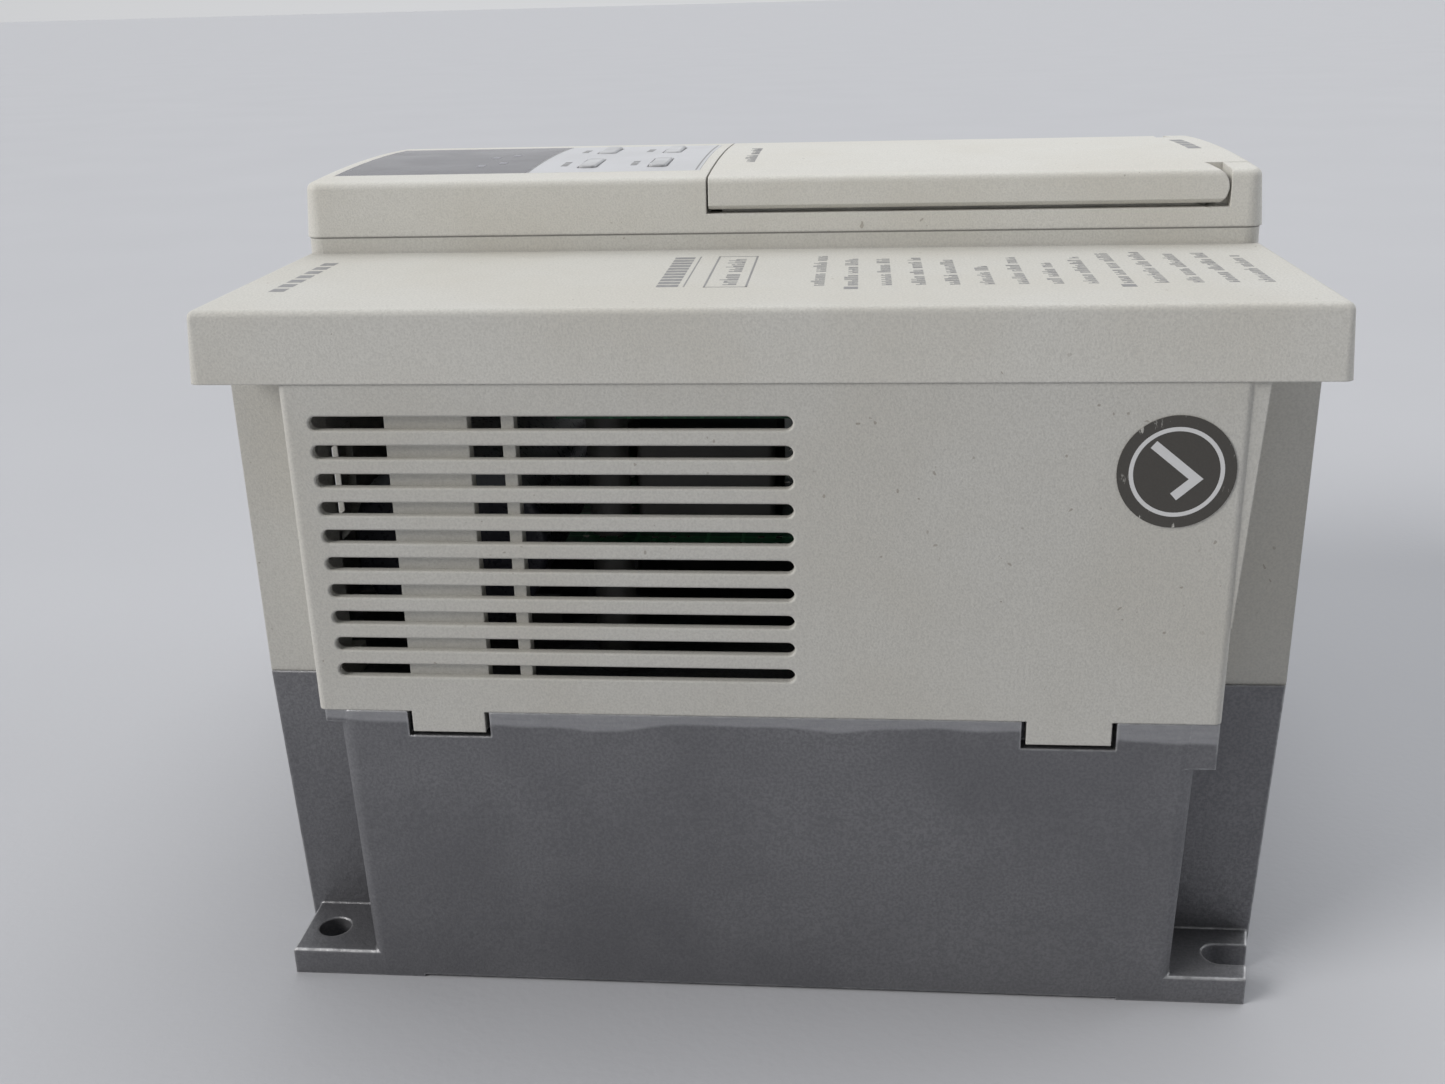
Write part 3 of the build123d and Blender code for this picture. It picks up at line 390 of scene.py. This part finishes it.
def printed_sticker(name):
    """Dark warm grey print on paper, scratched pale towards its rim."""
    s = Shader(name)
    centre = (sticker_low + sticker_high) / 2
    radius = (sticker_high.x - sticker_low.x) / 2
    across = s.math("SUBTRACT", s.x, centre.x)
    up = s.math("SUBTRACT", s.z, centre.z)
    away = s.math("SQRT", s.math("ADD", s.math("MULTIPLY", across, across), s.math("MULTIPLY", up, up)))
    rim = s.ramp(away, radius - 2.2 * MM, radius)
    scratch = s.noise(0.9 * MM, detail=4.0, roughness=0.7, stretch=(1, 1, 3))
    worn = s.math("MULTIPLY", rim, s.ramp(scratch, 0.6, 0.7))
    fine = s.noise(0.25 * MM, detail=2.0)
    body = s.blend(fine, (0.070, 0.064, 0.055), (0.052, 0.048, 0.042))
    body = s.blend(worn, body, (0.55, 0.54, 0.5))
    s.bump(fine, 0.01 * MM)
    return s.finish(body, s.ramp(fine, 0.2, 0.8, 0.3, 0.4))


def ink(name, colour, fading=0.35):
    """Screen-printed ink, thinner in places."""
    s = Shader(name)
    beneath = (0.5, 0.49, 0.45)
    thin = s.noise(0.9 * MM, detail=3.0)
    body = s.blend(s.ramp(thin, 0.4, 0.75, 0.0, fading), colour, beneath)
    return s.finish(body, s.ramp(thin, 0.3, 0.7, 0.4, 0.5))


ivory = (0.605, 0.594, 0.555)
ivory_aged = (0.58, 0.562, 0.512)
slot_materials = {
    "cast_aluminium": cast_aluminium("cast aluminium"),
    # One ivory as lit and shaded copies: the console's is painted brighter for light bounced up off the
    # cover, and the case's is painted darker than the cover's.
    "beige_case": moulded("case moulding", shade(ivory, 0.96), shade(ivory_aged, 0.96)),
    "beige_cover": moulded("cover moulding", shade(ivory, 1.05), shade(ivory_aged, 1.05), seam=housing_low.z),
    "beige_console": moulded("console moulding", shade(ivory, 1.16), shade(ivory_aged, 1.16), 0.26 * MM),
    "smoked_window": smoked_window("smoked window"),
    "label_film": label_film("label film"),
    "grey_keys": fine_moulding("keys", (0.60, 0.605, 0.62)),
    "black_moulding": fine_moulding("black moulding", (0.07, 0.068, 0.062)),
    "module_epoxy": fine_moulding("module epoxy", (0.06, 0.058, 0.056), gloss=0.4),
    "board_green": circuit_board("circuit board"),
    "capacitor_sleeve": capacitor_sleeve("capacitor sleeve"),
    "plated_steel": turned_metal("plated steel", (0.62, 0.61, 0.57)),
    "plated_brass": turned_metal("plated brass", (0.66, 0.53, 0.27)),
    "thermal_grease": fine_moulding("thermal pad", (0.62, 0.62, 0.6), gloss=0.7),
    "black_rubber": fine_moulding("rubber", (0.02, 0.02, 0.02), gloss=0.6, grain=0.5 * MM),
    "grey_ribbon": ribbon("ribbon"),
    "ferrite_core": ferrite("ferrite"),
    "terminal_green": fine_moulding("terminal moulding", (0.03, 0.21, 0.09), gloss=0.42),
    "lamp_red": tinted_lens("lamp lens", (0.42, 0.02, 0.015)),
    "display_red": tinted_lens("digit face", (0.05, 0.012, 0.012)),
    "plate_silver": brushed_plate("rating plate"),
    "sticker_grey": printed_sticker("sticker"),
}
for row in frame["record"]["subparts"]:
    node = frame["nodes"][row["node"]]
    node.data.materials.clear()
    node.data.materials.append(slot_materials[row["material_slot"]])

grey_ink = ink("grey ink", (0.24, 0.24, 0.25))
red_ink = ink("red ink", (0.42, 0.09, 0.075), 0.2)
white_ink = ink("white ink", (0.68, 0.68, 0.68), 0.1)
pale_ink = ink("pale window ink", (0.30, 0.30, 0.33), 0.1)
plate_ink = ink("plate ink", (0.05, 0.05, 0.055), 0.15)
segment_ink = ink("unlit segment", (0.30, 0.05, 0.04), 0.1)


# ---------------------------------------------------------------- surfaces that marks lie on
def on_lid(u, v, lift):
    return Vector((u, v, lid_z + lift))


def on_arch(u, v, lift):
    return Vector((u, v, crest_z - arch_radius + math.sqrt(arch_radius ** 2 - v ** 2) + lift))


def on_sticker(u, v, lift):
    return Vector((u, sticker_low.y - lift, v))


def on_plate(u, v, lift):
    return Vector((-u, plate_high.y + lift, v))


def on_digits(u, v, lift):
    return Vector((u, v, digits_high.z + lift))


class Prisms:
    """Collects closed prisms and turns them into one piece."""

    def __init__(self):
        self.points = []
        self.faces = []

    def prism(self, lower, upper):
        """Closed prism between two outlines of points, counter-clockwise seen from the upper one."""
        count = len(lower)
        start = len(self.points)
        self.points += [*lower, *upper]
        self.faces.append([start + i for i in reversed(range(count))])
        self.faces.append([start + count + i for i in range(count)])
        for i in range(count):
            j = (i + 1) % count
            self.faces.append([start + i, start + j, start + count + j, start + count + i])

    def piece(self, name, material, body, slot_name, soften=None):
        mesh = bpy.data.meshes.new(name)
        mesh.from_pydata(self.points, [], self.faces)
        mesh.update()
        mesh.materials.append(material)
        made = bpy.data.objects.new(name, mesh)
        bpy.context.scene.collection.objects.link(made)
        if soften is not None:
            bevel = made.modifiers.new("softened edges", "BEVEL")
            bevel.width = soften
            bevel.segments = 2
            bevel.limit_method = "ANGLE"
        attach(made, body)


class Marks(Prisms):
    """Thin printed marks that lie on a surface, given in the surface's own (u, v)."""

    def __init__(self, surface):
        super().__init__()
        self.surface = surface

    def outline(self, outline):
        """Mark with an outline of (u, v) points, counter-clockwise seen from outside."""
        lower, upper = ([self.surface(u, v, lift) for u, v in outline] for lift in (-ink_root, ink_height))
        self.prism(lower, upper)

    def bar(self, u0, u1, v0, v1, step=1.5 * MM):
        """Rectangle, cut along v so that it follows a curved surface."""
        cuts = max(1, math.ceil((v1 - v0) / step))
        vs = [v0 + (v1 - v0) * i / cuts for i in range(cuts + 1)]
        self.outline([(u0, v) for v in reversed(vs)] + [(u1, v) for v in vs])

    def ring(self, centre, inner, outer, sides=72):
        """Flat ring, as closed segments side by side."""
        for i in range(sides):
            a, b = (2 * math.pi * k / sides for k in (i, i + 1))
            self.outline([
                (centre[0] + r * math.cos(t), centre[1] + r * math.sin(t))
                for r, t in ((inner, a), (outer, a), (outer, b), (inner, b))
            ])

    def words(self, u, v0, v1, height, rng):
        """Row of abstract strokes along v that stands for a line of print, with its tops towards -u."""
        stroke = 0.17 * height
        v = v0
        while v < v1 - height:
            for _ in range(rng.randint(3, 8)):
                width = height * rng.choice((0.42, 0.5, 0.58))
                if v + width > v1:
                    break
                tall = height * rng.choice((0.72, 0.72, 1.0))
                self.bar(u - tall, u, v, v + stroke)
                self.bar(u - tall * rng.choice((0.6, 1.0)), u, v + width - stroke, v + width)
                level = u - tall * rng.choice((0.12, 0.5, 0.88))
                self.bar(level - stroke / 2, level + stroke / 2, v + stroke, v + width - stroke)
                v += width + 0.22 * height
            v += 0.55 * height


# ---------------------------------------------------------------- print on the cover
rng = random.Random(7)
strip_near = -60.0 * MM
strip_far = -35.5 * MM

badge = Marks(on_lid)
badge_left, badge_right = -68.0 * MM, -65.8 * MM
badge_pitch, badge_block = 3.5 * MM, 2.3 * MM
for i in range(7):
    v = strip_near - 1.0 * MM + i * badge_pitch
    badge.bar(badge_left, badge_right, v, v + badge_block)
badge.piece("cover_badge_blocks", grey_ink, "drive", "sticker_grey")

title = Marks(on_lid)
title_left, title_right = -13.9 * MM, -10.9 * MM
title_pitch, title_block = 2.25 * MM, 1.55 * MM
rule_left, rule_right = -10.2 * MM, -10.0 * MM
for i in range(11):
    v = strip_near + i * title_pitch
    title.bar(title_left, title_right, v, v + title_block)
title.bar(rule_left, rule_right, strip_near, strip_far)
title.piece("cover_title_blocks", grey_ink, "drive", "sticker_grey")

panel = Marks(on_lid)
box_line = 0.28 * MM
box_near, box_far = strip_near - 0.5 * MM, strip_far
box_left, box_right = -7.4 * MM, -1.4 * MM
panel.bar(box_left, box_left + box_line, box_near, box_far)
panel.bar(box_right - box_line, box_right, box_near, box_far)
panel.bar(box_left, box_right, box_near, box_near + box_line)
panel.bar(box_left, box_right, box_far - box_line, box_far)
panel.words(-3.0 * MM, box_near + 1.6 * MM, box_far - 1.5 * MM, 2.6 * MM, rng)
panel.piece("cover_boxed_blocks", grey_ink, "drive", "sticker_grey")

notice = Marks(on_lid)
line_first, line_pitch, line_height = 9.0 * MM, 4.55 * MM, 1.9 * MM
line_lengths = (24, 22, 21, 23, 22, 15, 22, 17, 22, 24, 25, 25, 24, 22)
bulleted_lines = (1, 9)
for i, length in enumerate(line_lengths):
    u = line_first + i * line_pitch
    notice.words(u, strip_near, strip_near + length * MM, line_height, rng)
    if i in bulleted_lines:
        notice.bar(u - line_height, u, strip_near - 2.6 * MM, strip_near - 0.9 * MM)
notice.piece("cover_notice_lines", grey_ink, "drive", "sticker_grey")

# ---------------------------------------------------------------- print on the console
key_print = Marks(on_arch)
for low, high in keys.values():
    middle = (low.y + high.y) / 2
    top, bottom = low.x - 2.4 * MM, low.x - 1.3 * MM
    key_print.bar(top, bottom, middle - 3.2 * MM, middle - 0.4 * MM)
    key_print.bar(top, bottom, middle + 0.2 * MM, middle + 2.0 * MM)
label_line = label_low.x + 0.35 * MM
key_print.bar(label_low.x, label_line, label_low.y + 0.4 * MM, label_high.y - 0.4 * MM)
key_print.piece("keypad_print", grey_ink, "drive", "sticker_grey")

stop_low, stop_high = keys["stop_key"]
stop_mark = Marks(on_arch)
stop_middle = (stop_low.x + stop_high.x) / 2
stop_half = 0.7 * MM
stop_near, stop_far = stop_high.y + 0.3 * MM, stop_high.y + 2.5 * MM
stop_mark.bar(stop_middle - stop_half, stop_middle + stop_half, stop_near, stop_far)
stop_mark.piece("keypad_stop_mark", red_ink, "drive", "lamp_red")

label_edge = Marks(on_arch)
edge_left, edge_right = label_high.x - 0.75 * MM, label_high.x - 0.5 * MM
label_edge.bar(edge_left, edge_right, label_low.y + 0.6 * MM, label_high.y - 0.6 * MM)
label_edge.piece("keypad_edge_line", grey_ink, "drive", "sticker_grey")

window_print = Marks(on_arch)
unit_left, unit_right = -49.6 * MM, -48.3 * MM
unit_wide, unit_step = 2.2 * MM, 3.0 * MM
for i, v in enumerate((-12.6 * MM, -9.4 * MM, -1.5 * MM, 1.7 * MM)):
    shift = i % 2 * unit_step           # every other mark sits a step lower
    window_print.bar(unit_left + shift, unit_right + shift, v, v + unit_wide)
window_print.piece("window_unit_marks", pale_ink, "drive", "label_film")

flap_print = Marks(on_arch)
flap_print.words(-3.4 * MM, -12.0 * MM, 11.0 * MM, line_height, rng)
mark_left, mark_right = 67.3 * MM, 69.4 * MM
mark_first, mark_pitch, mark_wide = -3.6 * MM, 4.4 * MM, 3.4 * MM
for i in range(4):
    v = mark_first + mark_pitch * i
    flap_print.bar(mark_left, mark_right, v, v + mark_wide)
flap_print.piece("flap_print", grey_ink, "flap", "sticker_grey")

# ---------------------------------------------------------------- tick on the inspection sticker
centre = ((sticker_low.x + sticker_high.x) / 2, (sticker_low.z + sticker_high.z) / 2)
ring_inner, ring_outer = 5.45 * MM, 6.0 * MM
tick = Marks(on_sticker)
tick.ring(centre, ring_inner, ring_outer)
tick_shape = [(0.2, -3.75), (3.42, -0.88), (-2.72, 4.16), (-3.48, 3.24), (1.58, -0.92), (-0.6, -2.85)]
tick.outline([(centre[0] + u * MM, centre[1] + v * MM) for u, v in tick_shape])
tick.piece("sticker_tick", white_ink, "drive", "label_film")

# ---------------------------------------------------------------- rows of blocks on the rating plate
plate = Marks(on_plate)
plate_margin, rule_wide, column_count = 2.0 * MM, 0.2 * MM, 8
plate_left, plate_right = -plate_high.x + plate_margin, -plate_low.x - plate_margin
plate_bottom, plate_top = plate_low.z + plate_margin, plate_high.z - plate_margin
column_pitch = (plate_right - plate_left) / column_count
for i in range(column_count + 1):
    u = plate_left + i * column_pitch
    plate.bar(u - rule_wide / 2, u + rule_wide / 2, plate_bottom, plate_top)
for v in (plate_bottom, plate_bottom + 9.0 * MM, plate_top - rule_wide):
    plate.bar(plate_left, plate_right, v, v + rule_wide)
for i in range(column_count):
    u = plate_left + i * column_pitch + 3.4 * MM
    plate.words(u, plate_bottom + 1.0 * MM, plate_bottom + 8.4 * MM, 1.7 * MM, rng)
    plate.words(u, plate_bottom + 10.0 * MM, plate_bottom + rng.uniform(15, 27) * MM, 1.7 * MM, rng)
plate.piece("rating_plate_rows", plate_ink, "drive", "sticker_grey")

# ---------------------------------------------------------------- segments of the display's four digits
segments = Marks(on_digits)
digit_tall, digit_wide, digit_pitch = 9.0 * MM, 4.6 * MM, 7.8 * MM
stroke, chip = 0.8 * MM, 0.15 * MM
inset = stroke / 2 + chip
digits_middle = (digits_low + digits_high) / 2
for i in range(4):
    v = digits_middle.y + (i - 1.5) * digit_pitch
    near, far = v - digit_wide / 2, v + digit_wide / 2
    top, bottom = digits_middle.x - digit_tall / 2, digits_middle.x + digit_tall / 2
    for u in (top, digits_middle.x, bottom):
        segments.bar(u - stroke / 2, u + stroke / 2, near + inset, far - inset)
    for upper, lower in ((top, digits_middle.x), (digits_middle.x, bottom)):
        for side in (near, far):
            segments.bar(upper + inset, lower - inset, side - stroke / 2, side + stroke / 2)
    segments.bar(bottom - stroke / 2, bottom + stroke / 2, far + stroke, far + 2 * stroke)
segments.piece("digit_segments", segment_ink, "drive", "lamp_red")


# ---------------------------------------------------------------- small parts on the control board
class Blocks(Prisms):
    """Boxes and short cylinders that stand on the control board, placed in millimetres."""

    def upright(self, outline, low, high):
        """Prism over an outline of (x, y) points, counter-clockwise from above."""
        lower, upper = (
            [(x * MM, y * MM, board_high.z + level * MM) for x, y in outline] for level in (low, high)
        )
        self.prism(lower, upper)

    def box(self, x, y, wide, deep, high, low=-0.02):
        a, b = x - wide / 2, x + wide / 2
        c, d = y - deep / 2, y + deep / 2
        self.upright([(a, c), (b, c), (b, d), (a, d)], low, high)

    def can(self, x, y, radius, high, low=-0.02, sides=28):
        turns = [2 * math.pi * k / sides for k in range(sides)]
        self.upright([(x + radius * math.cos(t), y + radius * math.sin(t)) for t in turns], low, high)

    def stand(self, name, slot_name, soften=0.08 * MM):
        """Makes the piece, in the material of a CAD slot."""
        self.piece(name, slot_materials[slot_name], "drive", slot_name, soften)


small_chips = Blocks()
chip_legs = Blocks()
leg_pitch, legs_on_a_side = 1.2, 5
for x, y in ((20.5, -15.5), (20.5, -5.5), (20.5, 4.5)):
    small_chips.box(x, y, 4.0, 6.0, 1.5)
    for i in range(legs_on_a_side):
        for side in (-1, 1):
            chip_legs.box(x + side * 2.7, y - 2 * leg_pitch + leg_pitch * i, 1.4, 0.45, 0.35)
small_chips.stand("board_small_chips", "module_epoxy")
chip_legs.stand("board_chip_legs", "plated_steel", 0.03 * MM)

chip_parts = Blocks()
part_ends = Blocks()
part_pitch = 2.6
part_rows = ((25.4, -20.0, 12), (15.4, -19.0, 4), (-5.2, -20.0, 16))       # x, first y and count
for x, first, count in part_rows:
    for i in range(count):
        y = first + part_pitch * i
        chip_parts.box(x, y, 1.3, 1.1, 0.5)
        for side in (-1, 1):
            part_ends.box(x + side * 0.95, y, 0.6, 1.15, 0.55)
chip_parts.stand("board_chip_resistors", "black_moulding", 0.04 * MM)
part_ends.stand("board_resistor_ends", "plated_steel", 0.04 * MM)

cans = Blocks()
can_bases = Blocks()
base_wide, base_high = 5.6, 1.0
can_radius, can_high, can_sunk = 2.5, 5.6, 0.02
for x, y in ((2.0, -16.0), (9.5, -16.0), (2.0, 15.5), (9.5, 15.5)):
    can_bases.box(x, y, base_wide, base_wide, base_high)
    cans.can(x, y, can_radius, can_high, base_high - can_sunk)
can_bases.stand("board_can_bases", "black_moulding")
cans.stand("board_cans", "plated_steel", 0.25 * MM)


# ---------------------------------------------------------------- camera, floor and light
def camera():
    """Camera a little above the cover, near the middle of the side with the sticker."""
    yaw, pitch, roll = math.radians(-5.565), math.radians(20.206), math.radians(-1.539)
    ahead = Vector((math.sin(yaw) * math.cos(pitch), math.cos(yaw) * math.cos(pitch), -math.sin(pitch)))
    right = Vector((math.cos(yaw), -math.sin(yaw), 0))
    up = right.cross(ahead)
    turned_right = math.cos(roll) * right + math.sin(roll) * up
    turned_up = math.cos(roll) * up - math.sin(roll) * right
    data = bpy.data.cameras.new("camera")
    data.sensor_width = 36.0
    data.lens = 36.97
    made = bpy.data.objects.new("camera", data)
    made.matrix_world = Matrix((turned_right, turned_up, -ahead)).transposed().to_4x4()
    made.location = (13.8 * MM, -259.9 * MM, 140.4 * MM)
    data.clip_start = 10 * MM
    bpy.context.scene.collection.objects.link(made)
    bpy.context.scene.camera = made


def sun(name, towards, strength, softness, colour):
    """Even directional light that comes from a direction. Its softness is an angle in degrees."""
    data = bpy.data.lights.new(name, "SUN")
    data.energy = strength
    data.angle = math.radians(softness)
    data.color = colour
    made = bpy.data.objects.new(name, data)
    made.rotation_euler = Vector(towards).to_track_quat("Z", "Y").to_euler()
    bpy.context.scene.collection.objects.link(made)


def floor():
    """Plain pale floor at the mounting face, wide enough to reach the horizon."""
    reach = 30.0
    mesh = bpy.data.meshes.new("floor")
    corners = [(-reach, -reach, 0), (reach, -reach, 0), (reach, reach, 0), (-reach, reach, 0)]
    mesh.from_pydata(corners, [], [(0, 1, 2, 3)])
    made = bpy.data.objects.new("floor", mesh)
    bpy.context.scene.collection.objects.link(made)
    s = Shader("floor paint")
    cloud = s.noise(120 * MM, detail=4.0)
    fine = s.noise(1.5 * MM, detail=2.0)
    s.bump(fine, 0.05 * MM)
    mesh.materials.append(s.finish(s.blend(cloud, (0.475, 0.48, 0.505), (0.51, 0.515, 0.54)), 0.7))


def world():
    """Pale surround: even along the horizon, and above it brighter behind the drive than in front."""
    front, back, at_horizon = 0.06, 0.68, 0.56
    made = bpy.data.worlds.new("surround")
    made.use_nodes = True
    bpy.context.scene.world = made
    nodes, links = made.node_tree.nodes, made.node_tree.links
    direction = nodes.new("ShaderNodeTexCoord")
    split = nodes.new("ShaderNodeSeparateXYZ")
    links.new(direction.outputs["Generated"], split.inputs[0])

    def ranged(value, numbers):
        """Value mapped from the first two numbers to the last two."""
        level = nodes.new("ShaderNodeMapRange")
        links.new(value, level.inputs["Value"])
        for socket, number in zip(level.inputs[1:5], numbers):
            socket.default_value = number
        return level.outputs[0]

    around = ranged(split.outputs["Y"], (-1.0, 1.0, front, back))
    horizon = ranged(split.outputs["Z"], (0.1, 0.26, at_horizon, 0.0))
    brighter = nodes.new("ShaderNodeMath")
    brighter.operation = "MAXIMUM"
    links.new(around, brighter.inputs[0])
    links.new(horizon, brighter.inputs[1])
    links.new(brighter.outputs[0], nodes["Background"].inputs["Strength"])
    nodes["Background"].inputs["Color"].default_value = (0.97, 0.98, 1.0, 1)


camera()
floor()
world()
sun("window light", (-0.8, -0.42, 0.55), strength=1.95, softness=28.0, colour=(1.0, 0.985, 0.965))
sun("ceiling light", (0.1, 0.35, 1.0), strength=1.15, softness=50.0, colour=(0.96, 0.98, 1.0))
sun("rim light", (0.85, 0.35, 0.35), strength=0.5, softness=40.0, colour=(0.98, 0.99, 1.0))
bpy.context.scene.view_settings.view_transform = "Standard"
